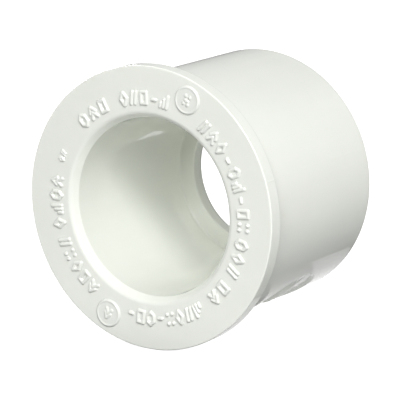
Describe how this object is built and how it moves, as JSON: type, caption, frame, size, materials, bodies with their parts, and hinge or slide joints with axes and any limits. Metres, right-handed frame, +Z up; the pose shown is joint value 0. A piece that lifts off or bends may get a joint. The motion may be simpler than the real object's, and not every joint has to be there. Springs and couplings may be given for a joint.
{
  "type": "reducer bushing",
  "caption": "Collared reducer bushing in white plastic: a plain round spigot on the outside, a smaller pipe socket down its middle, and raised marks on the collar's face.",
  "frame": {"origin": "on the fitting's axis, in the plane of the collar's rear shoulder, which stops against the hub of the larger fitting", "axes": "+Y along the axis, from the socket's mouth towards the spigot's end; +Z up; +X to the right, seen from the mouth"},
  "size_m": [0.0535, 0.0405, 0.0534],
  "materials": {
    "white_plastic": "moulded, satin to semi-gloss",
    "white_plastic_marks": "moulded, semi-gloss, in low relief"
  },
  "bodies": {
    "root": {"reducer_body": "white_plastic", "raised_marks": "white_plastic_marks", "round_badges": "white_plastic_marks"}
  },
  "joints": []
}
